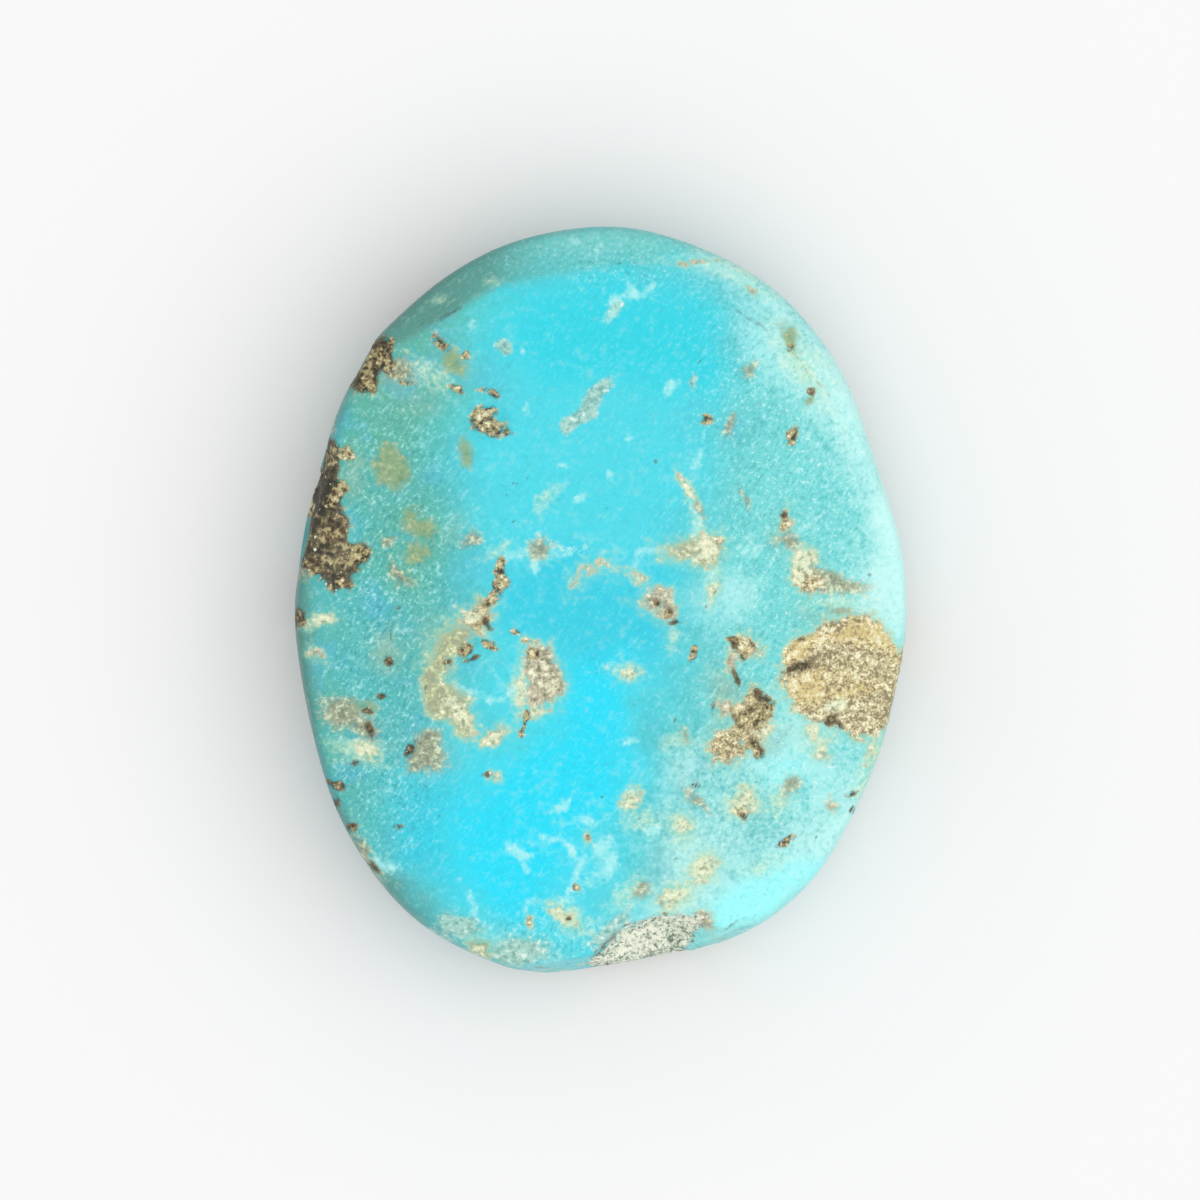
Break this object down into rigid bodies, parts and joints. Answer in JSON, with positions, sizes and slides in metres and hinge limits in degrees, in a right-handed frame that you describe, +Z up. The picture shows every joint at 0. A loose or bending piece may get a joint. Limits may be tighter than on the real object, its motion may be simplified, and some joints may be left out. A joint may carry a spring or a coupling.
{
  "type": "raw turquoise nugget",
  "caption": "Oval flat-ground turquoise stone with bevelled rim, pyrite and brown matrix patches, and a chipped lower edge; lies on its flat back.",
  "frame": {"origin": "under the middle of the stone, on the plane of its flat back", "axes": "+Z up out of the polished face, +Y along the stone towards its narrower end, +X to the right as the face is looked at"},
  "size_m": [0.0244, 0.0298, 0.0066],
  "materials": {
    "turquoise": "waxy, half polished"
  },
  "bodies": {
    "root": {"turquoise_nugget": "turquoise"}
  },
  "joints": []
}
